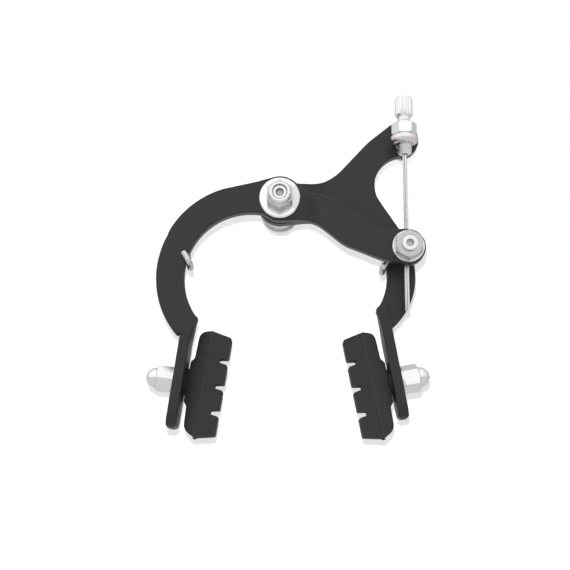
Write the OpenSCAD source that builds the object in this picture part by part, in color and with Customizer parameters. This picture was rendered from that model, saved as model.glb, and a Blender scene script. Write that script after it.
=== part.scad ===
// Side-pull caliper brake, open at rest, seen from the front along +Y.
// X points right, Y points to the rear and Z points up, all in millimetres.
// The origin is on the pivot bolt's axis, at the outer face of the rear nut.

/* [Pivot stack] */
// Diameter of the pivot bolt
bolt_d = 6; // [5:0.5:8]
// Free thread behind the rear nut, for the frame or fork
free_thread = 18; // [10:1:30]
// Radial running clearance of the arms on the bolt
pivot_play = 0.05; // [0.03:0.01:0.1]
// Width across the flats of the nuts on the pivot bolt
pivot_nut_af = 10; // [9:0.5:12]
// Thickness of the rear nut
frame_nut_t = 6; // [4:0.5:8]
// Diameter of the rear nut's flange
nut_flange_d = 16; // [13:0.5:18]
// Thickness of the plain washers
washer_t = 1; // [0.6:0.1:1.5]
// Length of the concave spacer that meets the fork
spacer_t = 5; // [3:0.5:10]
// Length of the block that holds the return spring
seat_t = 8; // [7:0.5:12]
// Diameter of the round pieces behind the arms
rear_stack_d = 13.6; // [12:0.2:15]
// Diameter of the large front washer
front_washer_d = 16.6; // [14:0.2:18]
// Thickness of the large front washer
front_washer_t = 1.5; // [1:0.1:2.5]
// Thickness of the thin front nut
jam_nut_t = 3.2; // [2.5:0.1:4]
// Height of the hexagon of the self-locking nut
lock_nut_t = 4; // [3:0.5:6]
// Height of the round collar on the self-locking nut
lock_collar_t = 2; // [1:0.25:3]

/* [Arms] */
// Thickness of both arm plates
arm_t = 5; // [4:0.5:6]
// Diameter of the boss round the pivot
boss_d = 18.4; // [17.4:0.2:22]
// How far the front arm's long end is cranked forwards
front_crank = 3.5; // [2.5:0.5:5]
// How far the rear arm is cranked backwards
rear_crank = 4.5; // [4:0.5:6]
// Diameter of the round end that holds the cable anchor
lobe_d = 14.4; // [13.6:0.2:16]
// Diameter of the round end that holds the cable stop
horn_d = 15; // [14:0.2:17]
// Depth of the pad studs below the pivot axis
reach = 72.5; // [71:0.5:76]
// Middle of the left arm's curved inner edge
left_c = [-11.5, -32.2];
// Radius of the left arm's curved inner edge
left_c_r = 26.4; // [26:0.1:26.8]
// Middle of the right arm's curved inner edge
right_c = [20.6, -29.9];
// Radius of the right arm's curved inner edge
right_c_r = 22.9; // [22.5:0.1:23.3]
// Thickness of the flange that carries a brake pad
leg_t = 4; // [3:0.5:4.5]
// Lean of the front arm's pad flange from upright
front_lean = 8.5; // [6:0.5:11]
// Lean of the rear arm's pad flange from upright
rear_lean = 10.3; // [8:0.1:13]
// Travel of a pad stud to either side of its middle
slot_travel = 5; // [3:0.5:6]

/* [Cable] */
// Distance of the cable from the pivot axis, to the right
cable_x = 50.7; // [49:0.1:52]
// Height of the cable stop above the pivot axis
stop_up = 25.7; // [24:0.1:27]
// Depth of the cable anchor below the pivot axis
anchor_down = 20.4; // [19:0.1:22]
// Diameter of the inner wire
wire_d = 1.8; // [1.2:0.1:2]
// Length of wire left below the anchor
wire_tail = 24.5; // [15:0.5:40]
// Diameter of the anchor bolt and of the barrel's thread
cable_bolt_d = 6; // [5.5:0.5:6.5]
// Width across the flats of the anchor nut
anchor_nut_af = 10.4; // [9.5:0.1:11]
// Height of the anchor nut
anchor_nut_t = 4.5; // [3:0.5:6]
// Thickness of the anchor bolt's head, through which the wire passes
anchor_head_t = 5.2; // [4.6:0.1:5.6]
// Diameter of the cable stop's ring
ring_d = 11.4; // [10:0.2:12]
// Height of the cable stop's ring
ring_h = 4; // [3:0.2:5]
// Diameter of the cable stop's shank
shank_d = 5; // [4:0.5:5.5]
// Length of barrel thread below the ring
thread_below = 4.4; // [2:0.2:8]
// Length of barrel neck between lock nut and head
neck_h = 2.6; // [1.5:0.1:6]
// Height of the barrel's lock nut
barrel_nut_h = 4.6; // [3:0.2:6]
// Width across the flats of the barrel's lock nut
barrel_nut_af = 8.9; // [8:0.1:10]
// Diameter of the fluted barrel head
head_d = 7.3; // [6.8:0.1:9]
// Height of the fluted barrel head
head_h = 8.4; // [7:0.2:12]
// Diameter of the socket for the cable housing
housing_d = 5.1; // [4.4:0.1:5.2]
// Height of the barrel head below its socket
socket_floor = 2.4; // [1.5:0.1:3]
// Number of flutes round the barrel head
flutes = 14; // [8:1:18]

/* [Pads] */
// Length of a brake pad at its widest
pad_l = 42.6; // [38:0.1:50]
// Width of a brake pad
pad_w = 11; // [9:0.5:13]
// Distance from the pad flange to the braking face
pad_reach = 15.7; // [15:0.1:20]
// Depth of the notches in the braking face
notch_depth = 3.6; // [2:0.2:5]
// Distance between notches
notch_pitch = 10.3; // [9:0.1:11]
// Height of the raised pad back over its corners
boss_rise = 1.4; // [1:0.1:2.5]
// Length of the raised pad back
boss_l = 16; // [12:0.5:20]
// Distance from the braking face to the pad's parting line
pad_front = 8; // [6:0.5:9]
// Thickness of the collar between a pad and its flange
collar_t = 1.2; // [0.8:0.1:2.5]
// Tilt of a pad on its stud, its top away from the flange
pad_tilt = 1; // [0:0.25:2]
// Depth of a stud in its pad
stud_depth = 8; // [5:0.5:9]
// Diameter of a pad stud
stud_d = 6; // [5:0.5:6]
// Width across the flats of an acorn nut
acorn_af = 10; // [9:0.5:11]
// Height of an acorn nut's hexagon
acorn_hex_t = 6.6; // [5:0.2:8]
// Diameter of an acorn nut's dome
acorn_dome_d = 8; // [7:0.2:9]
// Height of an acorn nut's dome
acorn_dome_h = 4; // [3:0.2:4.4]

/* [Return spring] */
// Diameter of the spring wire
spring_d = 2.4; // [2:0.1:2.6]

/* [Hidden] */

// Round faces are true curves from this many sides up
$fn = 64;
// Largest step of an arc in an outline, in degrees
arc_step = 4;
// Gap left between a thread and its nut
thread_fit = 0.03;
// Gap between a bolt and a plain hole round it
hole_gap = 0.2;
// Gap between a soft or sprung piece and what it rests on
rest_gap = 0.25;
// Extra length of a cutting tool past a face
past = 1;
// Length of a cutting tool that passes through everything
through = 60;

// Places along the pivot bolt, from the rear nut forwards
frame_washer_y = -frame_nut_t;
spacer_y = frame_washer_y - washer_t;
toothed_y = spacer_y - spacer_t;
seat_y = toothed_y - washer_t;
rear_washer_y = seat_y - seat_t;
rear_arm_y = rear_washer_y - washer_t;
mid_washer_y = rear_arm_y - arm_t;
front_arm_y = mid_washer_y - washer_t;
front_washer_y = front_arm_y - arm_t;
jam_nut_y = front_washer_y - front_washer_t;
lock_nut_y = jam_nut_y - jam_nut_t;
bolt_end_y = lock_nut_y - lock_nut_t - lock_collar_t + 0.6;

// Back of the front arm's lobe, and both faces of the rear arm past its crank
lobe_back_y = front_arm_y - front_crank;
horn_back_y = rear_arm_y + rear_crank;
horn_front_y = horn_back_y - arm_t;
// The wire runs through the middle of the anchor bolt's head
wire_y = lobe_back_y + anchor_head_t / 2;

// Where the cranks start and end, measured from the pivot
crank_start = front_washer_d / 2 + 0.3;
crank_end = crank_start + 11;

// Inner face of each pad flange at the pad stud
front_foot = [-37.8, -reach];
rear_foot = [44.4, -reach - 0.2];
// Front and rear edge of each flange, with both pad studs in one plane
rear_flange = [horn_front_y - leg_t - 2, horn_back_y + 3];
stud_y = (rear_flange[0] + rear_flange[1]) / 2;
front_flange = [front_arm_y - arm_t, stud_y + 7];
slot_w = stud_d + 0.4;
// Where each flange leaves its arm: inner corner, its height, the outer height
front_leg_top = [2.2, reach - 47.6, reach - 55.1];
rear_leg_top = [0.8, reach - 42.9, reach - 51.1];
// Length of each flange below its pad stud
front_leg_end = 19.3;
rear_leg_end = 15.4;

// Middle of the return spring, over the bolt in its seat
spring_y = seat_y - seat_t / 2;
spring_z = bolt_d / 2 + 0.5 + spring_d / 2 + rest_gap;

// Heights along the cable axis
ring_z = stop_up - ring_h / 2;
ring_top = stop_up + ring_h / 2;
neck_z = ring_top + barrel_nut_h;
head_z = neck_z + neck_h;
barrel_bore_d = wire_d + 0.8;

// Outline helpers

// Points of an arc round c, from angle a to angle b
function arc(c, r, a, b) =
    let (n = max(1, ceil(abs(b - a) / arc_step)))
    [for (i = [0:n]) [c.x + r * cos(a + (b - a) * i / n), c.y + r * sin(a + (b - a) * i / n), 0]];

function unit(v) = v / norm(v);
function flat(p) = [p.x, p.y];

// Points that round the corner b between a and c with radius r
function rounding(a, b, c, r) =
    let (u = unit(a - b), v = unit(c - b),
         half = acos(max(-1, min(1, u * v))) / 2,
         m = b + unit(u + v) * r / sin(half),
         p = b + u * r / tan(half) - m,
         q = b + v * r / tan(half) - m,
         from = atan2(p.y, p.x),
         sweep = (atan2(q.y, q.x) - from + 540) % 360 - 180,
         n = max(1, ceil(abs(sweep) / arc_step)))
    [for (i = [0:n]) m + r * [cos(from + sweep * i / n), sin(from + sweep * i / n)]];

// An outline whose third figure is the radius of each corner
function outline(pts) =
    let (n = len(pts))
    [for (i = [0:n - 1])
        each pts[i].z == 0 ? [flat(pts[i])]
            : rounding(flat(pts[(i + n - 1) % n]), flat(pts[i]), flat(pts[(i + 1) % n]), pts[i].z)];

// A slab drawn in the front view, from y_back forwards
module slab(y_back, t) {
    translate([0, y_back, 0]) rotate([90, 0, 0]) linear_extrude(t) children();
}

// A round piece along Y, from y_back forwards
module disc(y_back, d, t) {
    translate([0, y_back, 0]) rotate([90, 0, 0]) cylinder(d = d, h = t);
}

// A hexagon along Y with a corner at the bottom, its front corners turned off
module hex_y(y_back, af, t) {
    intersection() {
        translate([0, y_back, 0]) rotate([90, 30, 0]) cylinder(r = af / sqrt(3), h = t, $fn = 6);
        translate([0, y_back, 0]) rotate([90, 0, 0]) rotate_extrude()
            polygon([[0, 0], [af / sqrt(3) + 0.1, 0], [af / sqrt(3) + 0.1, t - af / 14],
                     [af / 2 - 0.1, t], [0, t]]);
    }
}

// Moves what lies on the cable axis there from the origin
module at_cable(z) {
    translate([cable_x, wire_y, z]) children();
}

// Plan of a cranked plate: y runs from y_back to y_back + shift between the bends
function crank_at(x) =
    let (f = max(0, min(1, (x - crank_start) / (crank_end - crank_start))))
    f * f * (3 - 2 * f);
function crank_edge(y, shift) =
    concat([[-100, y]],
           [for (i = [0:12])
               let (x = crank_start + (crank_end - crank_start) * i / 12)
               [x, y + shift * crank_at(x)]],
           [[100, y + shift]]);
function reversed(a) = [for (i = [len(a) - 1:-1:0]) a[i]];

// A plate of the arms' thickness, cut to an outline and cranked to one side
module cranked_plate(y_back, shift) {
    intersection() {
        slab(y_back + max(shift, 0) + past, arm_t + abs(shift) + 2 * past) children();
        translate([0, 0, -110]) linear_extrude(180)
            polygon(concat(crank_edge(y_back - arm_t, shift),
                           reversed(crank_edge(y_back, shift))));
    }
}

// Pad flange of the left arm, with its inner face at x = 0 and the stud at z = 0.
// top is where it leaves the arm: inner corner, its height and the outer height.
module pad_flange(top, end, span) {
    side = [[-leg_t, top[2], 0], [-leg_t, -end, 1.6], [0, -end, 1.6], [0, top[1] - 10, 12],
            [top[0], top[1], 1.2], [top[0] - 4, top[1] + 2, 0]];
    face = [[span[0], top[1] + 3, 0], [span[0], -end, 5.5], [span[1], -end, 5.5],
            [span[1], top[2] - 3, 7], [span[0] + arm_t, top[1] - 2, 3],
            [span[0] + arm_t, top[1] + 3, 0]];
    difference() {
        intersection() {
            slab(span[1], span[1] - span[0]) polygon(outline(side));
            translate([-20, 0, 0]) rotate([90, 0, 90]) linear_extrude(40) polygon(outline(face));
        }
        translate([0, stud_y, 0]) pad_slot();
    }
}

// Slot in which the pad stud slides
module pad_slot() {
    depth = leg_t + 4 * past;
    for (z = [-slot_travel, slot_travel])
        translate([-leg_t - 2 * past, 0, z]) rotate([0, 90, 0]) cylinder(d = slot_w, h = depth);
    translate([-leg_t - 2 * past, -slot_w / 2, -slot_travel]) cube([depth, slot_w, 2 * slot_travel]);
}

// Puts a left-hand piece at the front arm's foot, or its mirror at the rear arm's
module at_front_foot() {
    translate([front_foot.x, 0, front_foot.y]) rotate([0, front_lean, 0]) children();
}
module at_rear_foot() {
    translate([rear_foot.x, 0, rear_foot.y]) mirror([1, 0, 0]) rotate([0, rear_lean, 0]) children();
}

// Arms

// Outline of the front arm: left C, pivot boss and the long end with the anchor
function front_outline() =
    let (lobe = [cable_x - 0.2, -anchor_down])
    outline(concat(
        arc([0, 0], boss_d / 2, 50, 106),
        [[-9.5, 6.9, 30]],
        arc([-11.9, -31.4], 37, 107, 150),
        arc([-13.1, -32], 35.9, 152, 220.5),
        [[-32.2, -48.4, 1.2]],
        arc(left_c, left_c_r, 215, 80),
        arc([0, 0], boss_d / 2, 253, 265),
        [[12.4, -8.7, 14], [25.3, -19.4, 14], [lobe.x - 10.7, lobe.y - 4.8, 18]],
        arc(lobe, lobe_d / 2, 256, 452),
        [[lobe.x - 10.3, lobe.y + 7, 10], [19, 0.3, 20], [12, 2.2, 6]]));

// Outline of the rear arm: pivot boss, horn with the cable stop, and right C
function rear_outline() =
    let (tip = [cable_x - 0.9, stop_up + 1.9])
    outline(concat(
        [[16.6, 5.2, 22], [36.3, 26.4, 20]],
        arc(tip, horn_d / 2, 127, -86),
        arc([cable_x + 0.7, 8.3], 12.5, 94, 214.5),
        arc([21, -29.7], 33.9, 36, 2),
        arc([27.5, -30.1], 27.4, -2, -50),
        [[38.4, -44.2, 1.2]],
        arc(right_c, right_c_r, -34, 100),
        arc([0, 0], boss_d / 2, 276, 71)));

module arm_bore() {
    disc(past, bolt_d + 2 * pivot_play, through);
}

module front_arm() {
    color([0.2, 0.2, 0.2]) difference() {
        union() {
            cranked_plate(front_arm_y, -front_crank) polygon(front_outline());
            at_front_foot() pad_flange(front_leg_top, front_leg_end, front_flange);
        }
        arm_bore();
        translate([cable_x, 0, -anchor_down]) disc(0, cable_bolt_d + 2 * pivot_play, through);
    }
}

module rear_arm() {
    color([0.2, 0.2, 0.2]) difference() {
        union() {
            cranked_plate(rear_arm_y, rear_crank) polygon(rear_outline());
            at_rear_foot() pad_flange(rear_leg_top, rear_leg_end, rear_flange);
        }
        arm_bore();
        translate([cable_x, 0, stop_up]) disc(0, shank_d + 2 * pivot_play, through);
    }
}

// Pivot stack

module pivot_bolt() {
    // The free thread is cut a little under the shank's size, past a relief inside the nut
    thread_r = bolt_d / 2 - 0.05;
    color([0.75, 0.76, 0.78]) difference() {
        translate([0, free_thread, 0]) rotate([90, 0, 0]) rotate_extrude()
            polygon([[0, 0], [thread_r - 0.8, 0], [thread_r, 0.8], [thread_r, free_thread],
                     [thread_r - 0.45, free_thread], [thread_r - 0.45, free_thread + 1],
                     [bolt_d / 2, free_thread + 1], [bolt_d / 2, free_thread - bolt_end_y - 0.6],
                     [bolt_d / 2 - 0.6, free_thread - bolt_end_y], [0, free_thread - bolt_end_y]]);
        translate([0, bolt_end_y - past, 0]) rotate([-90, 0, 0]) cylinder(d = 3, h = past + 1.4);
    }
}

module washer(y_back, d, t) {
    difference() {
        disc(y_back, d, t);
        disc(y_back + past, bolt_d + 2 * hole_gap, t + 2 * past);
    }
}

module front_washer() {
    color([0.85, 0.86, 0.87]) difference() {
        translate([0, front_washer_y, 0]) rotate([90, 0, 0]) rotate_extrude()
            polygon([[0, 0], [front_washer_d / 2 - 0.3, 0], [front_washer_d / 2, 0.3],
                     [front_washer_d / 2, front_washer_t - 0.5],
                     [front_washer_d / 2 - 0.5, front_washer_t], [0, front_washer_t]]);
        disc(0, bolt_d + 2 * hole_gap, through);
    }
}

module pivot_jam_nut() {
    color([0.78, 0.79, 0.8]) difference() {
        hex_y(jam_nut_y, pivot_nut_af, jam_nut_t);
        disc(0, bolt_d + 2 * thread_fit, through);
    }
}

module pivot_lock_nut() {
    color([0.8, 0.81, 0.82]) difference() {
        union() {
            hex_y(lock_nut_y, pivot_nut_af, lock_nut_t);
            translate([0, lock_nut_y - lock_nut_t, 0]) rotate([90, 0, 0]) rotate_extrude()
                polygon([[0, -1], [pivot_nut_af / 2 - 0.3, -1], [pivot_nut_af / 2 - 0.3, 0],
                         [pivot_nut_af / 2 - 0.5, lock_collar_t - 0.7],
                         [pivot_nut_af / 2 - 1.1, lock_collar_t], [0, lock_collar_t]]);
        }
        disc(0, bolt_d + 2 * thread_fit, through);
    }
}

module mid_washer() {
    color([0.7, 0.7, 0.72]) washer(mid_washer_y, boss_d - 3.4, washer_t);
}

module rear_washer() {
    color([0.7, 0.7, 0.72]) washer(rear_washer_y, rear_stack_d, washer_t);
}

// Block with a slot across its top, in which the middle of the spring lies
module spring_seat() {
    slot = spring_d + 2 * rest_gap;
    color([0.6, 0.6, 0.62]) difference() {
        disc(seat_y, rear_stack_d, seat_t);
        disc(0, bolt_d + 2 * hole_gap, through);
        translate([-rear_stack_d, spring_y - slot / 2, spring_z - slot / 2])
            cube([2 * rear_stack_d, slot, rear_stack_d]);
    }
}

module toothed_washer() {
    teeth = 18;
    color([0.7, 0.7, 0.72]) difference() {
        disc(toothed_y, rear_stack_d - 0.4, washer_t);
        disc(0, bolt_d + 2 * hole_gap, through);
        for (i = [0:teeth - 1])
            rotate([0, 360 * i / teeth, 0])
                translate([rear_stack_d / 2 - 1.1, toothed_y - washer_t - past, -0.4])
                    cube([3, washer_t + 2 * past, 0.8]);
    }
}

// Spacer whose rear face is hollowed to sit on a round fork crown
module radius_spacer() {
    crown_d = 34;
    color([0.75, 0.76, 0.78]) difference() {
        disc(spacer_y, rear_stack_d, spacer_t);
        disc(0, bolt_d + 2 * hole_gap, through);
        translate([0, spacer_y + crown_d / 2 - 1.6, -rear_stack_d])
            cylinder(d = crown_d, h = 2 * rear_stack_d);
    }
}

module frame_washer() {
    color([0.75, 0.76, 0.78]) washer(frame_washer_y, rear_stack_d - 1, washer_t);
}

module frame_nut() {
    color([0.78, 0.79, 0.8]) difference() {
        union() {
            hex_y(0, pivot_nut_af, frame_nut_t);
            translate([0, -frame_nut_t, 0]) rotate([-90, 0, 0]) rotate_extrude()
                polygon([[0, 0], [nut_flange_d / 2 - 0.3, 0], [nut_flange_d / 2, 0.3],
                         [nut_flange_d / 2, 0.8], [pivot_nut_af / 2, 2], [0, 2]]);
        }
        disc(past, bolt_d + 2 * thread_fit, through);
    }
}

// Return spring

// Route of each side behind its arm, and the bottom of each hook
left_path = [[-7, spring_z, 0], [-14, 2.6, 0.15], [-22, -2.6, 0.5],
             [-30, -8.4, 0.85], [-36.4, -15.2, 1]];
right_path = [[7, spring_z, 0], [14, 2.8, 0.5], [22, -1.4, 1],
              [31, -4.6, 1], [38.4, -9.8, 1], [42.6, -17, 1]];
left_hook = left_c + (left_c_r - spring_d / 2 - 0.7) * [cos(169), sin(169)];
right_hook = right_c + (right_c_r - spring_d / 2 - 0.6) * [cos(6.4), sin(6.4)];

// Middle line of one side of the spring, from the seat to its hook. path lists
// x, z and how far the wire has come from the seat to back, the plane behind the
// arm. face is the plane in front of the arm.
function spring_side(side, path, back, face, hook) =
    concat(
        [for (p = path) [p.x, spring_y + (back - spring_y) * p.z, p.y]],
        [[hook.x + side * 1.3, back, hook.y + 4.4],
         [hook.x + side * 0.3, back - 0.3, hook.y + 1.4],
         [hook.x, (back + face) / 2, hook.y - 0.4],
         [hook.x + side * 0.3, face + 0.3, hook.y + 1.2],
         [hook.x + side * 1.4, face, hook.y + 3.4],
         [hook.x + side * 2.6, face, hook.y + 5.3]]);

// Smooth line through a list of points
function blend_point(a, b, c, d, t) =
    0.5 * (2 * b + (c - a) * t + (2 * a - 5 * b + 4 * c - d) * t * t
           + (3 * b - a - 3 * c + d) * t * t * t);
function smooth_line(p, steps) =
    let (n = len(p))
    concat([for (i = [0:n - 2], k = [0:steps - 1])
               blend_point(p[max(i - 1, 0)], p[i], p[i + 1], p[min(i + 2, n - 1)], k / steps)],
           [p[n - 1]]);

// Round wire swept along a line, with flat ends
module wire(line, d, sides) {
    n = len(line);
    tangents = [for (i = [0:n - 1]) unit(line[min(i + 1, n - 1)] - line[max(i - 1, 0)])];
    rings = [for (i = [0:n - 1])
        let (t = tangents[i], u = unit(cross(t, [0.05, 0.3, 1])), v = cross(t, u))
        for (k = [0:sides - 1])
            line[i] + d / 2 * (u * cos(360 * k / sides) + v * sin(360 * k / sides))];
    polyhedron(rings, concat(
        [[for (k = [0:sides - 1]) k]],
        [for (i = [0:n - 2], k = [0:sides - 1])
            [i * sides + k, (i + 1) * sides + k,
             (i + 1) * sides + (k + 1) % sides, i * sides + (k + 1) % sides]],
        [[for (k = [sides - 1:-1:0]) (n - 1) * sides + k]]));
}

module return_spring() {
    reach = spring_d / 2 + rest_gap;
    left = spring_side(-1, left_path, front_arm_y + reach, front_arm_y - arm_t - reach, left_hook);
    right = spring_side(1, right_path, horn_back_y + reach, horn_front_y - reach, right_hook);
    color([0.8, 0.8, 0.82]) wire(smooth_line(concat(reversed(left), right), 3), spring_d, 10);
}

// Cable anchor

// Bolt whose head is behind the arm, with a cross hole for the wire
module anchor_bolt() {
    end_y = lobe_back_y - arm_t - washer_t - anchor_nut_t - 1.2;
    head_y = lobe_back_y + anchor_head_t;
    color([0.78, 0.79, 0.8]) difference() {
        translate([cable_x, 0, -anchor_down]) union() {
            disc(head_y, cable_bolt_d + 4.4, anchor_head_t);
            disc(lobe_back_y + past, cable_bolt_d, lobe_back_y + past - end_y);
        }
        at_cable(-anchor_down - 10) cylinder(d = wire_d + 0.1, h = 20);
        translate([cable_x, end_y + 1.8, -anchor_down]) rotate([90, 0, 0]) cylinder(d = 3, h = 5);
    }
}

module anchor_washer() {
    color([0.84, 0.85, 0.86]) translate([cable_x, 0, -anchor_down]) difference() {
        disc(lobe_back_y - arm_t, anchor_nut_af + 2.4, washer_t);
        disc(0, cable_bolt_d + 2 * hole_gap, through);
    }
}

module anchor_nut() {
    color([0.8, 0.81, 0.82]) translate([cable_x, 0, -anchor_down]) difference() {
        hex_y(lobe_back_y - arm_t - washer_t, anchor_nut_af, anchor_nut_t);
        disc(0, cable_bolt_d + 2 * thread_fit, through);
    }
}

// Straight stretch of inner wire, clamped in the anchor and free in the barrel
module inner_wire() {
    top = head_z + socket_floor - 1;
    low = -anchor_down - wire_tail;
    color([0.8, 0.81, 0.82]) at_cable(low) cylinder(d = wire_d, h = top - low);
}

// Cable stop

// Ring with a threaded hole and a shank that passes through the horn
module cable_stop() {
    edge = ring_h / 2 - 0.1;
    shank_end = horn_front_y + arm_t + washer_t + 5;
    color([0.82, 0.78, 0.78]) difference() {
        union() {
            at_cable(stop_up) rotate_extrude()
                polygon(outline([[0, -ring_h / 2, 0], [ring_d / 2, -ring_h / 2, edge],
                                 [ring_d / 2, ring_h / 2, edge], [0, ring_h / 2, 0]]));
            translate([cable_x, 0, stop_up]) {
                disc(horn_front_y, ring_h, horn_front_y - wire_y);
                disc(horn_front_y, shank_d + 1.4, horn_front_y - wire_y - ring_d / 2);
                disc(shank_end, shank_d, shank_end - horn_front_y + 0.4);
            }
        }
        at_cable(ring_z - past) cylinder(d = cable_bolt_d + 2 * pivot_play, h = ring_h + 2 * past);
    }
}

module stop_washer() {
    color([0.78, 0.79, 0.8]) translate([cable_x, 0, stop_up]) difference() {
        disc(horn_front_y + arm_t + washer_t, shank_d + 5, washer_t);
        disc(0, shank_d + 2 * hole_gap, through);
    }
}

module stop_nut() {
    nut_t = 4;
    color([0.78, 0.79, 0.8]) translate([cable_x, 0, stop_up]) difference() {
        mirror([0, 1, 0]) hex_y(-horn_front_y - arm_t - washer_t, shank_d + 3, nut_t);
        disc(0, shank_d + 2 * thread_fit, through);
    }
}

// Hollow barrel: fluted head with the housing socket, neck and thread
module barrel_adjuster() {
    socket = head_h - socket_floor;
    low = ring_z - thread_below;
    color([0.88, 0.88, 0.89]) difference() {
        union() {
            at_cable(low) cylinder(d = cable_bolt_d, h = neck_z + 0.4 - low);
            at_cable(neck_z) cylinder(d = cable_bolt_d - 0.9, h = neck_h + past);
            at_cable(head_z) rotate_extrude()
                polygon([[0, 0], [head_d / 2 - 0.9, 0], [head_d / 2, 0.9], [head_d / 2, head_h - 0.5],
                         [head_d / 2 - 0.5, head_h], [0, head_h]]);
        }
        at_cable(low - past) cylinder(d = barrel_bore_d, h = through);
        at_cable(head_z + head_h - socket) cylinder(d = housing_d, h = socket + past);
        for (i = [0:flutes - 1])
            at_cable(head_z + 0.9) rotate([0, 0, 360 * (i + 0.5) / flutes])
                translate([head_d / 2 + 0.25, 0, 0]) cylinder(d = 1, h = head_h, $fn = 20);
    }
}

module barrel_lock_nut() {
    color([0.86, 0.87, 0.88]) at_cable(ring_top) difference() {
        intersection() {
            cylinder(r = barrel_nut_af / sqrt(3), h = barrel_nut_h, $fn = 6);
            rotate_extrude()
                polygon([[0, 0], [barrel_nut_af / 2, 0], [barrel_nut_af / sqrt(3) + 0.1, 0.5],
                         [barrel_nut_af / sqrt(3) + 0.1, barrel_nut_h - 0.5],
                         [barrel_nut_af / 2, barrel_nut_h], [0, barrel_nut_h]]);
        }
        translate([0, 0, -past]) cylinder(d = cable_bolt_d + 2 * pivot_play, h = barrel_nut_h + 2 * past);
    }
}

// Brake pads

// Side of a pad as the front view shows it, x from the flange to the braking face
function pad_outline() =
    let (half = pad_l / 2, back = collar_t + boss_rise, part = pad_reach - pad_front,
         notches = [for (i = [1:-1:-1]) -0.1 + i * notch_pitch])
    outline(concat(
        [[collar_t, -boss_l / 2, 1.2], [back, -boss_l / 2 - 1.6, 1.4],
         [back + 0.4, -half + 2.6, 4.4], [part, -half, 0], [pad_reach, -half + 1.8, 1]],
        [for (z = reversed(notches)) each
            [[pad_reach, z - 1.3, 0.6], [pad_reach - notch_depth, z - 0.7, 0.4],
             [pad_reach - notch_depth, z + 0.7, 0.4], [pad_reach, z + 1.3, 0.6]]],
        [[pad_reach, half - 1.5, 0.9], [part, half, 0], [back + 0.3, half - 1.1, 3.4],
         [back, boss_l / 2 + 1.6, 1.4], [collar_t, boss_l / 2, 1.2]]));

// Moulded block with a hole in its back for the stud
module brake_pad() {
    part = pad_reach - pad_front;
    w = pad_w / 2;
    section = [[collar_t, -w + 1.6, 0], [part, -w, 0], [pad_reach, -w + 0.8, 0.6],
               [pad_reach, w - 0.8, 0.6], [part, w, 0], [collar_t, w - 1.6, 0]];
    difference() {
        translate([collar_t, 0, 0]) rotate([0, pad_tilt, 0]) translate([-collar_t, 0, 0]) intersection() {
            slab(stud_y + w + past, pad_w + 2 * past) polygon(pad_outline());
            translate([0, stud_y, -pad_l]) linear_extrude(2 * pad_l) polygon(outline(section));
        }
        translate([-past, stud_y, 0]) rotate([0, 90, 0]) cylinder(d = stud_d + 0.1, h = stud_depth + past);
        translate([-past, stud_y, 0]) rotate([0, 90, 0]) cylinder(d = stud_d + 5.4, h = collar_t + past);
    }
}

// Stud with a collar that seats against the flange
module pad_stud() {
    tail = leg_t + washer_t + acorn_hex_t - 0.6;
    translate([-tail, stud_y, 0]) rotate([0, 90, 0]) cylinder(d = stud_d, h = tail + stud_depth);
    translate([0, stud_y, 0]) rotate([0, 90, 0]) cylinder(d = stud_d + 5, h = collar_t);
}

module pad_washer() {
    translate([-leg_t - washer_t, stud_y, 0]) rotate([0, 90, 0]) difference() {
        cylinder(d = acorn_af + 1.8, h = washer_t);
        translate([0, 0, -past]) cylinder(d = stud_d + 2 * pivot_play, h = washer_t + 2 * past);
    }
}

// Closed nut: hexagon, then a turned dome. turn is how far it is screwed round.
module acorn_nut(turn) {
    corner = acorn_af / sqrt(3);
    dome_r = acorn_dome_d / 2;
    translate([-leg_t - washer_t, stud_y, 0]) rotate([0, -90, 0]) difference() {
        intersection() {
            rotate([0, 0, turn]) cylinder(r = corner, h = acorn_hex_t + acorn_dome_h + past, $fn = 6);
            rotate_extrude() polygon(concat(
                [[0, 0], [corner - 0.4, 0], [corner + 0.1, 0.5], [corner + 0.1, acorn_hex_t - 0.9],
                 [dome_r, acorn_hex_t]],
                [for (a = [10:10:80]) [dome_r * cos(a), acorn_hex_t + acorn_dome_h * sin(a)]],
                [[0, acorn_hex_t + acorn_dome_h]]));
        }
        translate([0, 0, -past]) cylinder(d = stud_d + 2 * pivot_play, h = acorn_hex_t + past);
    }
}

module left_brake_pad() { color([0.16, 0.16, 0.16]) at_front_foot() brake_pad(); }
module left_pad_stud() { color([0.13, 0.13, 0.13]) at_front_foot() pad_stud(); }
module left_pad_washer() { color([0.84, 0.85, 0.86]) at_front_foot() pad_washer(); }
module left_acorn_nut() { color([0.86, 0.87, 0.88]) at_front_foot() acorn_nut(30); }
module right_brake_pad() { color([0.16, 0.16, 0.16]) at_rear_foot() brake_pad(); }
module right_pad_stud() { color([0.13, 0.13, 0.13]) at_rear_foot() pad_stud(); }
module right_pad_washer() { color([0.84, 0.85, 0.86]) at_rear_foot() pad_washer(); }
module right_acorn_nut() { color([0.86, 0.87, 0.88]) at_rear_foot() acorn_nut(4); }

front_arm();
rear_arm();
pivot_bolt();
front_washer();
pivot_jam_nut();
pivot_lock_nut();
mid_washer();
rear_washer();
spring_seat();
return_spring();
toothed_washer();
radius_spacer();
frame_washer();
frame_nut();
anchor_bolt();
anchor_washer();
anchor_nut();
inner_wire();
cable_stop();
stop_washer();
stop_nut();
barrel_adjuster();
barrel_lock_nut();
left_brake_pad();
left_pad_stud();
left_pad_washer();
left_acorn_nut();
right_brake_pad();
right_pad_stud();
right_pad_washer();
right_acorn_nut();
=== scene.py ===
import math

import bmesh
import bpy
from mathutils import Matrix, Vector


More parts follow.
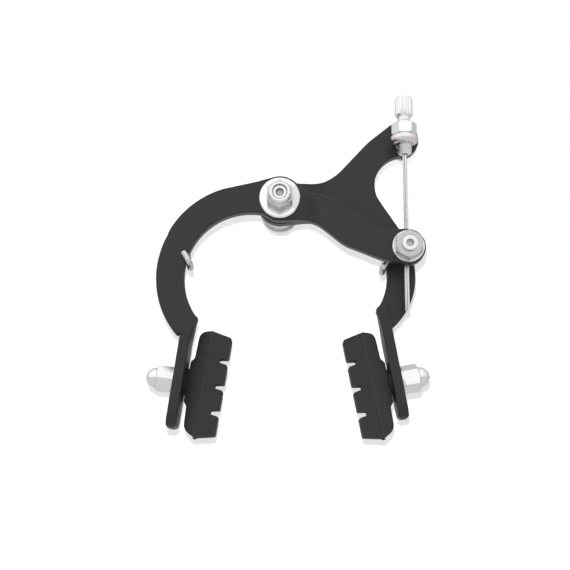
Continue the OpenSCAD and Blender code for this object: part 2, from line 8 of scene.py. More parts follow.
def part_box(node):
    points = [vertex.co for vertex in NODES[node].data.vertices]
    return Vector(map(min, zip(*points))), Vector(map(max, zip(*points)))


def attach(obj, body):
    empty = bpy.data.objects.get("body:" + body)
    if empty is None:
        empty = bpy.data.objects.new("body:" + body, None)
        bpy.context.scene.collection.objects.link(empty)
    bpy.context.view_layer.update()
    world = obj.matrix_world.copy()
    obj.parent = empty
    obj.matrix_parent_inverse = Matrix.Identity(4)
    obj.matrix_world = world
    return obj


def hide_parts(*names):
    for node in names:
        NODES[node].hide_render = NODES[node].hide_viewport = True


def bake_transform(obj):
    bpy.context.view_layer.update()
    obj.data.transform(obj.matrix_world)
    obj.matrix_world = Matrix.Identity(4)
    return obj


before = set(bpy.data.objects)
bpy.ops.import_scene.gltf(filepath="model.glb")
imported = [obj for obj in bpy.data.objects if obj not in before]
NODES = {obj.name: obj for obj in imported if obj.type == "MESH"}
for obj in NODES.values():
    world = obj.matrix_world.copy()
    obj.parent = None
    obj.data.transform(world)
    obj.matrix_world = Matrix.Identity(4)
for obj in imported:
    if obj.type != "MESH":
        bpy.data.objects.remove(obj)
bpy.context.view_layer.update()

MM = 0.001


# Studio. The brake hangs in front of plain white and is seen from a little below, as
# in a catalogue. A broad lamp stands at the upper left and a weak one at the right.
CAMERA_AT = (0.00208, -0.47018, -0.11235)
CAMERA_TILT = 100
FOCAL_LENGTH, SENSOR_WIDTH = 71.05, 36
AIM = Vector((0, -0.02, -0.02))
LAMPS = (  # name, place, width in metres, watts
    ("broad_lamp", (-0.42, -0.62, 0.55), 0.5, 3.0),
    ("side_lamp", (0.75, -0.5, 0.15), 0.35, 0.8),
)
# Grey that a mirror sees, from straight down at 0 to straight up at 1.
ROOM_GREYS = ((0.0, 0.05), (0.25, 0.10), (0.38, 0.30), (0.47, 0.62), (0.54, 0.88), (0.62, 0.97),
              (1.0, 1.0))
FLOOR_REACH, FLOOR_Z = 6, -0.24
CARD_REACH, CARD_Y, CARD_FOOT, CARD_TOP = 0.4, 0.022, -0.23, 0.35
CARD_GLOW = 0.57
CARD_SEEN, CARD_GONE = 0.035, 0.055
SMALL_LAMP_AT, SMALL_LAMP_R, SMALL_LAMP_WATTS = (-0.002, -0.470, -0.084), 0.006, 20
WHITE = (1, 1, 1, 1)

scene = bpy.context.scene
scene.view_settings.view_transform = "Standard"


def put(name, data):
    """Puts a new object in the scene."""
    thing = bpy.data.objects.new(name, data)
    scene.collection.objects.link(thing)
    return thing


def plane(name, corners):
    """One flat face of the studio."""
    mesh = bpy.data.meshes.new(name)
    mesh.from_pydata(corners, [], [(0, 1, 2, 3)])
    return put(name, mesh)


class Value:
    """One output of a node, with which a sum can be written with +, * and /."""

    def __init__(self, tree, socket):
        self.tree, self.socket = tree, socket

    def sum(self, operation, *others):
        return self.tree.add("ShaderNodeMath", {"operation": operation}, [self, *others])

    def __add__(self, other):
        return self.sum("ADD", other)

    def __mul__(self, other):
        return self.sum("MULTIPLY", other)

    def __truediv__(self, other):
        return self.sum("DIVIDE", other)

    def between(self, low, high, from_low=0.0, from_high=1.0):
        """The value stretched from one range to another and held inside it."""
        return self.tree.add("ShaderNodeMapRange", {"clamp": True},
                             [self, from_low, from_high, low, high])

    def sibling(self, out):
        """Another output of the same node."""
        return Value(self.tree, self.socket.node.outputs[out])


class Tree:
    """A node tree, built node by node."""

    def __init__(self, tree):
        self.tree = tree

    def add(self, kind, settings=None, sockets=(), out=0):
        """Adds a node. sockets gives its inputs in order or by name, as values or constants."""
        node = self.tree.nodes.new(kind)
        for key, value in (settings or {}).items():
            setattr(node, key, value)
        pairs = sockets.items() if isinstance(sockets, dict) else enumerate(sockets)
        for key, value in pairs:
            if isinstance(value, Value):
                self.tree.links.new(value.socket, node.inputs[key])
            else:
                node.inputs[key].default_value = value
        return Value(self, node.outputs[out])


class Look(Tree):
    """The nodes of a material or of the world."""

    def __init__(self, owner, output="ShaderNodeOutputMaterial"):
        owner.use_nodes = True
        super().__init__(owner.node_tree)
        self.owner = owner
        self.tree.nodes.clear()
        self.output = self.tree.nodes.new(output)

    def place(self):
        """The point of the piece, in metres from the frame's origin."""
        return self.add("ShaderNodeTexCoord", out="Object")

    def noise(self, place, scale, detail):
        return self.add("ShaderNodeTexNoise", {},
                        {"Vector": place, "Scale": scale, "Detail": detail})

    def mix(self, factor, a, b):
        """A colour between two others."""
        return self.add("ShaderNodeMix", {"data_type": "RGBA"},
                        {"Factor": factor, "A": a, "B": b}, out="Result")

    def bump(self, strength, distance, height):
        return self.add("ShaderNodeBump", {},
                        {"Strength": strength, "Distance": distance, "Height": height})

    def end(self, shader):
        """Ends the tree with this shader and gives its owner back."""
        self.tree.links.new(shader.socket, self.output.inputs[0])
        return self.owner

    def surface(self, colour, rough, skin, **more):
        """Ends the tree with an ordinary surface and gives the material back."""
        return self.end(self.add("ShaderNodeBsdfPrincipled", {}, {
            "Base Color": colour, "Roughness": rough, "Normal": skin, **more}))


lens = bpy.data.cameras.new("catalogue_camera")
lens.sensor_width, lens.lens = SENSOR_WIDTH, FOCAL_LENGTH
camera = put("catalogue_camera", lens)
camera.location = CAMERA_AT
camera.rotation_euler = (math.radians(CAMERA_TILT), 0, 0)
scene.camera = camera

# The metal mirrors a white room: bright above and in front, dim behind, dark below.
sky = Look(bpy.data.worlds.new("white_studio"), "ShaderNodeOutputWorld")
scene.world = sky.owner
towards = sky.add("ShaderNodeTexCoord", out="Generated")
aside = sky.add("ShaderNodeSeparateXYZ", {}, [towards], out="X")
behind, height = aside.sibling("Y"), aside.sibling("Z")
room = sky.add("ShaderNodeValToRGB", {}, [height * 0.5 + 0.5])
ramp = room.socket.node.color_ramp
while len(ramp.elements) < len(ROOM_GREYS):
    ramp.elements.new(0.5)
for element, (share, grey) in zip(ramp.elements, ROOM_GREYS):
    element.position, element.color = share, (grey, grey, grey, 1)
depth = behind.between(1.22, 0.62, -0.3, 0.7) * aside.between(1.0, 0.8, 0.3, 0.9)
soft = sky.add("ShaderNodeBackground", {}, [WHITE, height.between(0.5, 1.0, -0.8, 0.7)])
glossy = sky.add("ShaderNodeBackground", {}, [room, depth])
plain = sky.add("ShaderNodeBackground", {}, [WHITE, 1.0])
ray = sky.add("ShaderNodeLightPath", out="Is Glossy Ray")
lit = sky.add("ShaderNodeMixShader", {}, [ray, soft, glossy])
sky.end(sky.add("ShaderNodeMixShader", {}, [ray.sibling("Is Camera Ray"), lit, plain]))

for name, place, size, watts in LAMPS:
    light = bpy.data.lights.new(name, "AREA")
    light.size, light.energy = size, watts
    lamp = put(name, light)
    lamp.location = place
    lamp.rotation_euler = (AIM - Vector(place)).to_track_quat("-Z", "Y").to_euler()
    lamp.visible_glossy = False

studio_floor = plane("studio_floor", [
    (-FLOOR_REACH, -FLOOR_REACH, FLOOR_Z), (FLOOR_REACH, -FLOOR_REACH, FLOOR_Z),
    (FLOOR_REACH, FLOOR_REACH, FLOOR_Z), (-FLOOR_REACH, FLOOR_REACH, FLOOR_Z)])
paper = Look(bpy.data.materials.new("white_paper"))
matt = paper.add("ShaderNodeBsdfPrincipled", {},
                 {"Base Color": (0.6, 0.6, 0.6, 1), "Roughness": 0.9})
white = paper.add("ShaderNodeEmission", {}, [WHITE, 1.0])
seen = paper.add("ShaderNodeLightPath", out="Is Camera Ray") * 0.94
studio_floor.data.materials.append(
    paper.end(paper.add("ShaderNodeMixShader", {}, [seen, matt, white])))

# A white card hangs close behind. A small lamp just above the lens, which lights nothing
# else, draws a faint shadow on it below every edge. Between 15 and 19 degrees off the
# front the card fades away.
studio_card = plane("studio_card", [
    (-CARD_REACH, CARD_Y, CARD_FOOT), (CARD_REACH, CARD_Y, CARD_FOOT),
    (CARD_REACH, CARD_Y, CARD_TOP), (-CARD_REACH, CARD_Y, CARD_TOP)])
studio_card.visible_glossy = studio_card.visible_diffuse = studio_card.visible_shadow = False
card = Look(bpy.data.materials.new("white_card"))
matt = card.add("ShaderNodeBsdfDiffuse", {}, {"Color": (0.22, 0.235, 0.23, 1)})
glow = card.add("ShaderNodeEmission", {}, [WHITE, CARD_GLOW])
front = card.add("ShaderNodeAddShader", {}, [matt, glow])
away = card.add("ShaderNodeLayerWeight", {}, [0.5], out="Facing")
away = away.between(0, 1, CARD_SEEN, CARD_GONE)
away = away.sum("MAXIMUM", card.add("ShaderNodeNewGeometry", out="Backfacing"))
clear = card.add("ShaderNodeBsdfTransparent")
studio_card.data.materials.append(
    card.end(card.add("ShaderNodeMixShader", {}, [away, front, clear])))

light = bpy.data.lights.new("small_lamp", "POINT")
light.energy, light.shadow_soft_size = SMALL_LAMP_WATTS, SMALL_LAMP_R
small_lamp = put("small_lamp", light)
small_lamp.location = SMALL_LAMP_AT
small_lamp.visible_glossy = small_lamp.visible_camera = False
lit_card = bpy.data.collections.new("lit_card")
lit_card.objects.link(studio_card)
small_lamp.light_linking.receiver_collection = lit_card


# Arms. Two cranked metal plates, coated in satin black, cross on the pivot bolt. Their
# edges are broken before coating, so they catch a thin line of light.
ARM_EDGE = 0.45 * MM
ARM_JOIN = 0.12 * MM
NODE_JOIN = 0.002 * MM
FLAT_WITHIN = 0.5
ARM_CRISP = 12


class Growth(Tree):
    """A Geometry Nodes tree with named inputs, given as name = socket type."""

    def __init__(self, name, **inputs):
        super().__init__(bpy.data.node_groups.new(name, "GeometryNodeTree"))
        self.socket("Geometry", "INPUT", "Geometry")
        for key, kind in inputs.items():
            self.socket(key, "INPUT", kind)
        self.socket("Geometry", "OUTPUT", "Geometry")
        self.mesh = self.add("NodeGroupInput", out="Geometry")
        self.size = {key: self.mesh.sibling(key) for key in inputs}

    def socket(self, name, in_out, kind):
        self.tree.interface.new_socket(name, in_out=in_out, socket_type="NodeSocket" + kind)

    def end(self, mesh):
        """Ends the tree with this mesh."""
        end = self.tree.nodes.new("NodeGroupOutput")
        self.tree.links.new(mesh.socket, end.inputs[0])

    def close(self, mesh):
        """Ends the tree with real geometry in the piece's own material."""
        real = self.add("GeometryNodeRealizeInstances", {}, [mesh])
        self.end(self.add("GeometryNodeSetMaterial", {},
                          {"Geometry": real, "Material": self.size["Finish"]}))

    def run(self, piece, name, **sizes):
        """Puts the tree on a piece as a modifier, with these values on its inputs."""
        step = piece.modifiers.new(name, "NODES")
        step.node_group = self.tree
        for key, value in sizes.items():
            step[self.tree.interface.items_tree[key].identifier] = value


def dress(piece, material):
    """Gives a piece one material all over."""
    piece.data.materials.clear()
    piece.data.materials.append(material)


shading = Growth("shade_by_angle", Angle="Float")
faces = shading.add("GeometryNodeSetShadeSmooth", {}, [shading.mesh])
gentle = shading.add("FunctionNodeCompare", {"operation": "LESS_THAN"},
                     [shading.add("GeometryNodeInputMeshEdgeAngle"), shading.size["Angle"]])
shading.end(shading.add("GeometryNodeSetShadeSmooth", {"domain": "EDGE"},
                        {"Geometry": faces, "Shade Smooth": gentle}))


def shade_by_angle(piece, angle):
    """Smooth faces, with a sharp edge wherever two faces meet at more than the angle."""
    shading.run(piece, "shade_by_angle", Angle=math.radians(angle))


def join(piece, reach):
    """Joins a node's loose triangles where their corners lie together."""
    piece.modifiers.new("join", "WELD").merge_threshold = reach


def round_over(piece, width, segments, angle):
    """Rounds the edges where two faces meet at more than the angle."""
    bevel = piece.modifiers.new("edge", "BEVEL")
    bevel.width, bevel.segments = width, segments
    bevel.limit_method = "ANGLE"
    bevel.angle_limit = math.radians(angle)
    return bevel


def smooth(piece, angle):
    """Shades by angle and keeps the large faces flat."""
    shade_by_angle(piece, angle)
    piece.modifiers.new("flat_faces", "WEIGHTED_NORMAL").keep_sharp = True


def break_edges(piece, width, angle=30):
    """Breaks a node's edges by a width in mm, as a tool or a tumbling drum does."""
    join(piece, NODE_JOIN)
    if width:
        round_over(piece, width * MM, segments=2, angle=angle)
    smooth(piece, angle)


def break_arm_edges(arm):
    """Breaks an arm's edges, after the thin triangles along its bends have been taken out."""
    join(arm, ARM_JOIN)
    flat = arm.modifiers.new("flat", "DECIMATE")
    flat.decimate_type = "DISSOLVE"
    flat.angle_limit = math.radians(FLAT_WITHIN)
    round_over(arm, ARM_EDGE, segments=3, angle=35).use_clamp_overlap = False
    smooth(arm, ARM_CRISP)


def satin_paint(name):
    """Black powder coat with a fine orange peel."""
    look = Look(bpy.data.materials.new(name))
    place = look.place()
    clouds = look.noise(place, 60, 3)
    peel = look.noise(place, 1400, 2)
    grit = look.noise(place, 5200, 1)
    tint = look.mix(clouds.between(0, 1, 0.35, 0.65),
                    (0.0085, 0.0081, 0.0079, 1), (0.0115, 0.0109, 0.0106, 1))
    skin = look.bump(0.16, 0.06 * MM, peel + grit * 0.35)
    return look.surface(tint, clouds.between(0.34, 0.40) + peel * 0.05, skin,
                        **{"Specular IOR Level": 0.5})


black_coat = satin_paint("black_arm_coat")
for arm in ("front_arm", "rear_arm"):
    dress(NODES[arm], black_coat)
    break_arm_edges(NODES[arm])


# Pivot bolt, nuts and washers. A plated steel bolt holds both arms. In front are a large
# washer, a thin nut and a self-locking nut, behind them the spring's block and the
# pieces that meet the frame.
# The dark grey that turned steel is mixed towards for painted shade and a painted reflection.
PAINTED_SHADE_GREY = (0.16, 0.16, 0.165, 1)
ALONG_BOLT = (math.radians(90), 0, 0)
TO_REAR = Matrix.Rotation(math.radians(-90), 4, "X")
NOT_ZERO = 0.001 * MM
RIDGE_SHARE = 0.46


def cool(grey):
    """The faintly blue grey of plated metal."""
    return grey, grey + 0.005, grey + 0.01


def turned_steel(name, centre, turn, colour=cool(0.80), rough=0.24, rings=0.35, darker=None):
    """Plated steel with the fine rings that a lathe leaves round one axis.

    turn lays the piece's own axis along Z. darker takes a point's place along the axis, its
    distance from the axis and its share of that distance towards X, and says how much darker
    the steel is painted there, towards a dark grey: painted shade or a painted reflection.
    """
    look = Look(bpy.data.materials.new(name))
    place = look.place()
    home = look.add("ShaderNodeVectorMath", {"operation": "SUBTRACT"}, [place, tuple(centre)])
    home = look.add("ShaderNodeVectorRotate", {"rotation_type": "EULER_XYZ"},
                    {"Vector": home, "Rotation": turn})
    flat = look.add("ShaderNodeVectorMath", {"operation": "MULTIPLY"}, [home, (1, 1, 0)])
    radius = look.add("ShaderNodeVectorMath", {"operation": "LENGTH"}, [flat], out="Value")
    speckle = look.noise(place, 420, 4)
    groove = (radius * 14000 + speckle * 5).sum("SINE")
    shade = look.mix(speckle.between(0, 1, 0.3, 0.7),
                     (*(c * 0.96 for c in colour), 1), (*colour, 1))
    if darker:
        towards_x = look.add("ShaderNodeSeparateXYZ", {}, [home])
        share = darker(towards_x.sibling("Z"), radius, towards_x / (radius + NOT_ZERO))
        shade = look.mix(share, shade, PAINTED_SHADE_GREY)
    return look.surface(shade, speckle.between(rough - 0.03, rough + 0.03, 0.3, 0.7),
                        look.bump(rings * 0.25, 0.004 * MM, groove), Metallic=1.0)


def painted_recess_shade(share):
    """Painted shade in the recess in the end of a bolt: darker than the rest by this share."""
    return lambda along, radius, across: radius.between(share, 0, 1.4 * MM, 1.7 * MM)


# The front washer is painted darker in a sector towards its right: a painted reflection, the darker
# fan that a turned face shows in the light.
bright_pivot = turned_steel(
    "bright_pivot_steel", (0, 0, 0), ALONG_BOLT, cool(0.94), rings=0.2,
    darker=lambda along, radius, across: across.between(0, 0.30, 0.76, 0.81))
# The pivot nuts are painted darker towards the washer behind them: painted shade at their foot.
nut_pivot = turned_steel(
    "nut_pivot_steel", (0, 0, 0), ALONG_BOLT, cool(0.84), 0.22, 0.15,
    darker=lambda along, radius, across: along.between(0.05, 0.72, -42.5 * MM, -37.5 * MM))
zinc_pivot = turned_steel("zinc_pivot_steel", (0, 0, 0), ALONG_BOLT, cool(0.92), 0.55)
grey_block = turned_steel("grey_spring_block", (0, 0, 0), ALONG_BOLT, cool(0.68), 0.4)
for names, metal, edge in (
        (["front_washer"], bright_pivot, 0.12),
        (["pivot_jam_nut", "pivot_lock_nut"], nut_pivot, 0.12),
        (["frame_nut"], zinc_pivot, 0),
        (["mid_washer", "rear_washer", "toothed_washer", "frame_washer"], zinc_pivot, 0.08),
        (["spring_seat"], grey_block, 0.2),
        (["radius_spacer"], zinc_pivot, 0.15)):
    for node in names:
        dress(NODES[node], metal)
        break_edges(NODES[node], edge)


def keep_mesh(name, mesh, material, angle):
    """Puts a mesh that was built point by point in the scene as a piece."""
    bmesh.ops.remove_doubles(mesh, verts=mesh.verts, dist=1e-7)
    bmesh.ops.dissolve_degenerate(mesh, edges=mesh.edges, dist=1e-8)
    bmesh.ops.recalc_face_normals(mesh, faces=mesh.faces)
    data = bpy.data.meshes.new(name)
    mesh.to_mesh(data)
    mesh.free()
    piece = put(name, data)
    dress(piece, material)
    shade_by_angle(piece, angle)
    return piece


def skin_loops(mesh, pairs, sides):
    """Joins loops of points by bands of faces."""
    for low, high in pairs:
        for i in range(sides):
            j = (i + 1) % sides
            mesh.faces.new((low[i], low[j], high[j], high[i]))


def turned(name, section, material, to_world, hollow=False, sides=96, flutes=0):
    """A turned piece.

    section lists (radius, height) or (radius, height, flute depth) in mm, from the foot up the
    outside. A hollow piece goes back down the inside, a solid one ends on the axis.
    """
    mesh = bmesh.new()
    loops = []
    for radius, height, *cut in section:
        loop = []
        for i in range(sides):
            a = 2 * math.pi * i / sides
            r = radius - (cut[0] * max(0.0, math.cos(flutes * a)) ** 2 if cut else 0)
            point = Vector((r * math.cos(a), r * math.sin(a), height))
            loop.append(mesh.verts.new(to_world @ (point * MM)))
        loops.append(loop)
    skin_loops(mesh, zip(loops, loops[1:] + (loops[:1] if hollow else [])), sides)
    return keep_mesh(name, mesh, material, 30)


def grown(name, growth, to_world, **sizes):
    """Runs a tree once and keeps what it makes as a plain mesh."""
    piece = put(name, bpy.data.meshes.new(name))
    growth.run(piece, name, **sizes)
    depsgraph = bpy.context.evaluated_depsgraph_get()
    made = bpy.data.meshes.new_from_object(piece.evaluated_get(depsgraph))
    piece.modifiers.clear()
    made.transform(to_world)
    piece.data = made
    shade_by_angle(piece, 25)
    return piece


# A thread is one long ridge of diamond section, wound round the core.
thread = Growth("wound_thread", Turns="Float", Pitch="Float", Radius="Float", Depth="Float",
                Finish="Material")
helix = thread.add("GeometryNodeCurveSpiral", {}, {
    "Resolution": 40, "Rotations": thread.size["Turns"], "Start Radius": thread.size["Radius"],
    "End Radius": thread.size["Radius"], "Height": thread.size["Turns"] * thread.size["Pitch"]})
upright = thread.add("GeometryNodeSetCurveNormal", {"mode": "Z_UP"}, [helix])
ridge = thread.add("GeometryNodeCurvePrimitiveCircle", {},
                   {"Resolution": 4, "Radius": thread.size["Depth"]})
thread.close(thread.add("GeometryNodeCurveToMesh", {}, {
    "Curve": upright, "Profile Curve": ridge, "Fill Caps": True}))


def cut_thread(name, body, to_world, low, high, crest, pitch, material):
    """A thread from one height to another along a piece's own axis, in mm, out to its crest."""
    depth = pitch * RIDGE_SHARE
    piece = grown(name, thread, to_world @ Matrix.Translation((0, 0, (low + depth) * MM)),
                  Turns=(high - low - 2 * depth) / pitch, Pitch=pitch * MM,
                  Radius=(crest - depth) * MM, Depth=depth * MM, Finish=material)
    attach(piece, body)


bolt_front, bolt_rear = (corner.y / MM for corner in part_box("pivot_bolt"))
bolt_r, root_r = 3, 2.5
# The pivot bolt's end is painted darker in its recess: painted shade.
bolt_steel = turned_steel("bright_bolt_steel", (0, 0, 0), ALONG_BOLT, rough=0.28, rings=0.2,
                          darker=painted_recess_shade(0.62))
bolt = turned("pivot_bolt_rod", [
    (0, bolt_front + 1.4), (1.1, bolt_front + 1.2), (1.5, bolt_front + 0.15), (1.7, bolt_front),
    (2.5, bolt_front), (2.97, bolt_front + 0.5), (2.97, bolt_front + 0.7),
    (bolt_r, bolt_front + 0.75), (bolt_r, -0.6), (root_r, 0.1), (root_r, bolt_rear - 0.6),
    (2.1, bolt_rear), (0, bolt_rear)], bolt_steel, TO_REAR)
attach(bolt, "base")
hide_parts("pivot_bolt")
cut_thread("pivot_bolt_thread", "base", TO_REAR, -0.4, bolt_rear - 0.1, 2.95, 1.0, bolt_steel)


# Return spring. One length of hard-drawn wire: its middle lies over the bolt in the grey
# block, and each end runs out behind an arm and hooks round the arm's inner edge.
SPRING_R = 1.2
SPRING_Y, SPRING_Z = -17.0, 4.95
# Each side: name, arm, hand, hook's place in x and z, y behind and in front of the arm, and
# the route as x, z and the share of the way from the block to behind the arm.
SPRING_SIDES = (
    ("spring_left", "front_caliper_arm", -1, (-35.55, -27.53), -26.55, -34.45,
     ((-7, SPRING_Z, 0), (-14, 2.6, 0.15), (-22, -2.6, 0.5), (-30, -8.4, 0.85),
      (-36.4, -15.2, 1))),
    ("spring_right", "rear_caliper_arm", 1, (41.57, -27.55), -16.05, -23.95,
     ((7, SPRING_Z, 0), (14, 2.8, 0.5), (22, -1.4, 1), (31, -4.6, 1), (38.4, -9.8, 1),
      (42.6, -17, 1))),
)
# The crown on a cut end: its share of the way to the tip, and of the radius.
CROWN, CROWN_STEPS = 0.25, ((0.5, 0.93), (0.87, 0.7), (1, 0.35))


def smooth_path(points, steps):
    """A smooth line through points, as a drawn wire bends."""
    ends = [points[0], *points, points[-1]]
    line = []
    for a, b, c, d in zip(ends, ends[1:], ends[2:], ends[3:]):
        for k in range(steps):
            t = k / steps
            line.append(0.5 * (2 * b + (c - a) * t + (2 * a - 5 * b + 4 * c - d) * t * t
                               + (3 * b - a - 3 * c + d) * t ** 3))
    return line + [points[-1]]


def drawn_wire(name, line, radius, material, sides=20):
    """A round wire along a line, in mm. Its far end is crowned, its near end flat."""
    last = (line[-1] - line[-2]).normalized()
    stops = [(point, radius) for point in line]
    stops += [(line[-1] + last * radius * CROWN * far, radius * share)
              for far, share in CROWN_STEPS]
    mesh = bmesh.new()
    across = Vector((0, 0.3, 1))
    loops = []
    for i, (point, r) in enumerate(stops):
        along = (stops[min(i + 1, len(stops) - 1)][0] - stops[max(i - 1, 0)][0]).normalized()
        across = (across - along * across.dot(along)).normalized()
        other = along.cross(across)
        angles = (2 * math.pi * k / sides for k in range(sides))
        loops.append([mesh.verts.new((point + r * (across * math.cos(a) + other * math.sin(a)))
                                     * MM) for a in angles])
    skin_loops(mesh, zip(loops, loops[1:]), sides)
    mesh.faces.new(loops[0])
    mesh.faces.new(loops[-1])
    return keep_mesh(name, mesh, material, 40)


def drawn_steel(name, colour=cool(0.74), rough=0.26):
    """Hard wire with the fine marks that the drawing die leaves."""
    look = Look(bpy.data.materials.new(name))
    place = look.place()
    cloud = look.noise(place, 300, 3)
    mark = look.noise(place, 2600, 2)
    shade = look.mix(cloud.between(0, 1, 0.3, 0.7),
                     (*(c * 0.86 for c in colour), 1), (*colour, 1))
    return look.surface(shade, cloud.between(rough, rough + 0.1, 0.3, 0.7),
                        look.bump(0.25, 0.01 * MM, mark), Metallic=1.0)


spring_steel = drawn_steel("drawn_spring_steel")
for name, arm, hand, hook, back, face, route in SPRING_SIDES:
    hx, hz = hook
    points = [Vector((0, SPRING_Y, SPRING_Z))]
    points += [Vector((x, SPRING_Y + (back - SPRING_Y) * share, z)) for x, z, share in route]
    points += [Vector((hx + hand * dx, y, hz + dz)) for dx, y, dz in (
        (1.3, back, 4.4), (0.3, back - 0.3, 1.4), (0, (back + face) / 2, -0.4),
        (0.3, face + 0.3, 1.2), (1.4, face, 3.4), (2.6, face, 5.3))]
    half = drawn_wire(name, smooth_path(points, 8), SPRING_R, spring_steel)
    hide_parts("return_spring")
    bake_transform(half)


# Cable anchor. A bolt with a cross hole grips the wire behind the front arm's round end,
# drawn up by a nut on a plain washer.
CABLE_X, ANCHOR_Z = 0.0507, -0.0204
WIRE_TURNS, LAY_SHARE, THICKNESS_SHARE, CORE_SHARE = 0.03, 0.72, 0.28, 0.33

anchor_at = (CABLE_X, 0, ANCHOR_Z)
bright_anchor = turned_steel("bright_anchor_steel", anchor_at, ALONG_BOLT, cool(0.74), 0.26)
grey_anchor = turned_steel("grey_anchor_steel", anchor_at, ALONG_BOLT, cool(0.52), 0.26)
# The anchor bolt's end is painted darker in its recess: painted shade.
anchor_end = turned_steel("anchor_bolt_steel", anchor_at, ALONG_BOLT, cool(0.80), 0.26,
                          darker=painted_recess_shade(0.55))
for node, metal, edge in (("anchor_bolt", anchor_end, 0.15), ("anchor_washer", bright_anchor, 0.12),
                          ("anchor_nut", grey_anchor, 0.15)):
    dress(NODES[node], metal)
    break_edges(NODES[node], edge)

# The wire is a strand: a core with six round wires laid round it, almost straight.
strand = Growth("twisted_strand", Wires="Int", Length="Float", Turns="Float", Radius="Float",
                Thickness="Float", Finish="Material")
lay = strand.add("GeometryNodeCurveSpiral", {}, {
    "Resolution": 14, "Rotations": strand.size["Turns"], "Start Radius": strand.size["Radius"],
    "End Radius": strand.size["Radius"], "Height": strand.size["Length"]})
copies = strand.add("GeometryNodeDuplicateElements", {"domain": "SPLINE"},
                    {"Geometry": lay, "Amount": strand.size["Wires"]})
spin = copies.sibling("Duplicate Index") * (2 * math.pi) / strand.size["Wires"]
turned_place = strand.add("ShaderNodeVectorRotate", {"rotation_type": "Z_AXIS"}, {
    "Vector": strand.add("GeometryNodeInputPosition"), "Angle": spin})
placed = strand.add("GeometryNodeSetPosition", {}, {"Geometry": copies, "Position": turned_place})
round_wire = strand.add("GeometryNodeCurvePrimitiveCircle", {},
                        {"Resolution": 8, "Radius": strand.size["Thickness"]})
strand.close(strand.add("GeometryNodeCurveToMesh", {}, {
    "Curve": placed, "Profile Curve": round_wire, "Fill Caps": True}))

wire_low, wire_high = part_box("inner_wire")
wire_foot = Matrix.Translation(((wire_low.x + wire_high.x) / 2, (wire_low.y + wire_high.y) / 2,
                                wire_low.z))
wire_r = (wire_high.x - wire_low.x) / 2
wire_length = wire_high.z - wire_low.z
core_r, core_foot, core_top = wire_r / MM * CORE_SHARE, 0.1, wire_length / MM - 0.1
wire_steel = drawn_steel("drawn_wire_steel", cool(0.86), 0.22)
# The core is painted dark grey: painted shade in the gaps between the six wires.
core_shade_steel = drawn_steel("core_painted_shade", (0.2, 0.2, 0.2), 0.4)
wire = grown("inner_wire_strand", strand, wire_foot, Wires=6, Length=wire_length,
             Turns=WIRE_TURNS, Radius=wire_r * LAY_SHARE, Thickness=wire_r * THICKNESS_SHARE,
             Finish=wire_steel)
wire_core = turned("inner_wire_core", [
    (0, core_foot), (core_r, core_foot), (core_r, core_top), (0, core_top)],
    core_shade_steel, wire_foot, sides=24)
for piece in (wire, wire_core):
    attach(piece, "anchor")
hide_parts("inner_wire")


# Cable stop and barrel adjuster. A plated ring sits on a shank through the rear arm's horn.
# The hollow barrel screws down through it, with a fluted head for the fingers and a lock
# nut on the ring.
CABLE_Y, STOP_Z = -0.0289, 0.0257
FLUTES = 14

stop_plating = turned_steel("plated_stop_brass", (CABLE_X, CABLE_Y, 0), (0, 0, 0),
                            (0.80, 0.765, 0.755), 0.26)
stop_zinc = turned_steel("zinc_stop_steel", (CABLE_X, 0, STOP_Z), ALONG_BOLT, cool(0.68), 0.34)
barrel_metal = turned_steel("turned_aluminium", (CABLE_X, CABLE_Y, 0), (0, 0, 0), cool(0.88),
                            0.26, rings=0.1)
for node, metal, edge, angle in (
        ("cable_stop", stop_plating, 0.1, 40), ("stop_washer", stop_zinc, 0.1, 30),
        ("stop_nut", stop_zinc, 0.1, 30), ("barrel_lock_nut", barrel_metal, 0.15, 30)):
    dress(NODES[node], metal)
    break_edges(NODES[node], edge, angle)

barrel_low, barrel_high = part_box("barrel_adjuster")
foot, top = barrel_low.z / MM, barrel_high.z / MM
upright_at = Matrix.Translation((CABLE_X, CABLE_Y, 0))
head, bore, core, seat = top - 8.4, 1.3, 2.5, 2.55
barrel = turned("barrel_body", [
    (bore + 0.3, foot), (core - 0.3, foot), (core, foot + 0.3), (core, head + 0.05),
    (2.75, head + 0.05), (3.55, head + 0.9, 0.05), (3.65, head + 1.15, 0.42),
    (3.65, top - 0.85, 0.42), (3.5, top - 0.35, 0.2), (3.2, top), (2.75, top), (seat, top - 0.2),
    (seat, top - 6), (bore, top - 6), (bore, foot + 0.3)],
    barrel_metal, upright_at, hollow=True, sides=FLUTES * 12, flutes=FLUTES)
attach(barrel, "barrel")
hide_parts("barrel_adjuster")
cut_thread("barrel_thread", "barrel", upright_at, foot + 0.1, head - 2.2, 3.0, 1.0,
           barrel_metal)
cut_thread("barrel_neck_thread", "barrel", upright_at, head - 2.5, head - 0.1, 2.62, 0.6,
           barrel_metal)


# Brake pads. Moulded rubber blocks on steel studs, drawn against the flanges by acorn nuts.
# The mould leaves a thin line round each block and a small gate mark at either end.
PARTING, COLLAR, TILT = 7.7, 1.2, 1.0
LINE_WIDTH, LINE_LENGTH, LINE_CORNER, LINE_R = 11.1, 42.7, 0.6, 0.13
GATE = [(0, -0.6), (0.8, -0.6), (0.75, 0.35), (0.5, 0.55), (0, 0.6)]
GATE_AT = 21.2
HAIR = 0.02 * MM
# Each side: where the stud stands on the flange, in mm, the flange's lean and the hand.
FEET = {"left": (Vector((-37.8, -21.5, -72.5)), 8.5, 1),
        "right": (Vector((44.4, -21.5, -72.7)), -10.3, -1)}


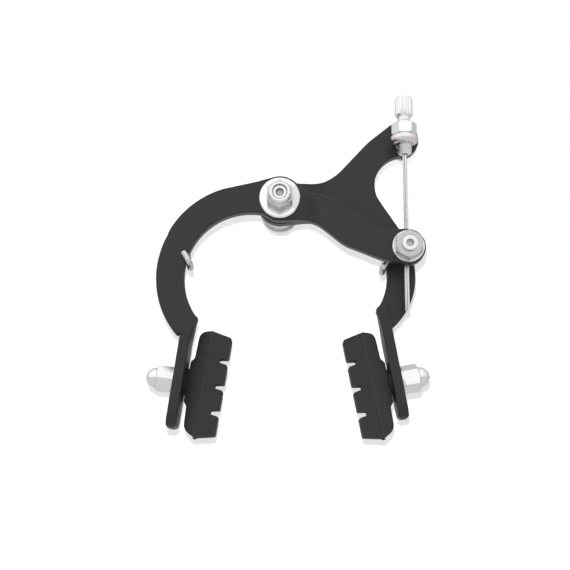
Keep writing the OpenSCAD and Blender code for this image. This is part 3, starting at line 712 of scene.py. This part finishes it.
def moulded_rubber(name, shade=1.0):
    """Black rubber, a little dusty. shade makes it lighter or darker."""
    def tone(*colour):
        return (*(c * shade for c in colour), 1)

    look = Look(bpy.data.materials.new(name))
    place = look.place()
    patch = look.noise(place, 110, 4)
    grain = look.noise(place, 2200, 3)
    dust = look.noise(place, 900, 6)
    tint = look.mix(patch.between(0, 1, 0.35, 0.7),
                    tone(0.024, 0.0220, 0.0218), tone(0.033, 0.0306, 0.0289))
    tint = look.mix(dust.between(0, 0.12, 0.6, 0.85), tint, tone(0.09, 0.085, 0.08))
    return look.surface(tint, patch.between(0.58, 0.72, 0.3, 0.7),
                        look.bump(0.3, 0.08 * MM, grain + patch * 0.4),
                        **{"Specular IOR Level": 0.35})


def ease(piece):
    """Draws a piece's skin in by a hair, so that it lies just clear of the face it bears on."""
    relief = piece.modifiers.new("relief", "DISPLACE")
    relief.strength, relief.mid_level = -HAIR, 0.0


def quarter(axis):
    """A quarter turn."""
    return Matrix.Rotation(math.radians(90), 4, axis)


rubber = moulded_rubber("moulded_pad_rubber")
# The mould line's bead is painted 2.6 times lighter than the pad: a painted highlight along it.
flash_highlight_rubber = moulded_rubber("flash_painted_highlight", 2.6)

mould_tree = Growth("mould_line", Width="Float", Length="Float", Corner="Float",
                    Thickness="Float", Finish="Material")
loop = mould_tree.add("GeometryNodeCurvePrimitiveQuadrilateral", {},
                      {"Width": mould_tree.size["Width"], "Height": mould_tree.size["Length"]})
loop = mould_tree.add("GeometryNodeFilletCurve", {"mode": "POLY"},
                      {"Curve": loop, "Radius": mould_tree.size["Corner"], "Count": 6})
bead = mould_tree.add("GeometryNodeCurvePrimitiveCircle", {},
                      {"Resolution": 6, "Radius": mould_tree.size["Thickness"]})
mould_tree.close(mould_tree.add("GeometryNodeCurveToMesh", {},
                                {"Curve": loop, "Profile Curve": bead}))

for side_name, (foot_at, lean, hand) in FEET.items():
    dress(NODES[side_name + "_brake_pad"], rubber)
    break_edges(NODES[side_name + "_brake_pad"], 0)
    stud = Matrix.Translation(foot_at * MM) @ Matrix.Rotation(math.radians(lean), 4, "Y")
    tilted = (stud @ Matrix.Translation((hand * COLLAR * MM, 0, 0))
              @ Matrix.Rotation(math.radians(hand * TILT), 4, "Y"))
    parting_x = hand * (PARTING - COLLAR) * MM
    line_at = tilted @ Matrix.Translation((parting_x, 0, 0)) @ quarter("Y") @ quarter("Z")
    mould = grown(side_name + "_mould_line", mould_tree, line_at, Width=LINE_WIDTH * MM,
                  Length=LINE_LENGTH * MM, Corner=LINE_CORNER * MM, Thickness=LINE_R * MM,
                  Finish=flash_highlight_rubber)
    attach(mould, side_name + "_pad")
    for end_name, end, turn in (("_upper_gate", 1, 0), ("_lower_gate", -1, math.pi)):
        gate_at = (tilted @ Matrix.Translation((parting_x, 0, end * GATE_AT * MM))
                   @ Matrix.Rotation(turn, 4, "X"))
        gate = turned(side_name + end_name, GATE, rubber, gate_at, sides=24)
        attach(gate, side_name + "_pad")
    square_to_stud = (0, math.radians(-90 - lean), 0)
    steel = turned_steel(side_name + "_nut_steel", foot_at * MM, square_to_stud, cool(0.84), 0.2)
    oxide = turned_steel(side_name + "_stud_steel", foot_at * MM, square_to_stud,
                         (0.035, 0.035, 0.036), 0.42)
    for node, metal, edge in (("_acorn_nut", steel, 0.2), ("_pad_washer", steel, 0.12),
                              ("_pad_stud", oxide, 0.15)):
        dress(NODES[side_name + node], metal)
        break_edges(NODES[side_name + node], edge)
        if node != "_acorn_nut":
            ease(NODES[side_name + node])
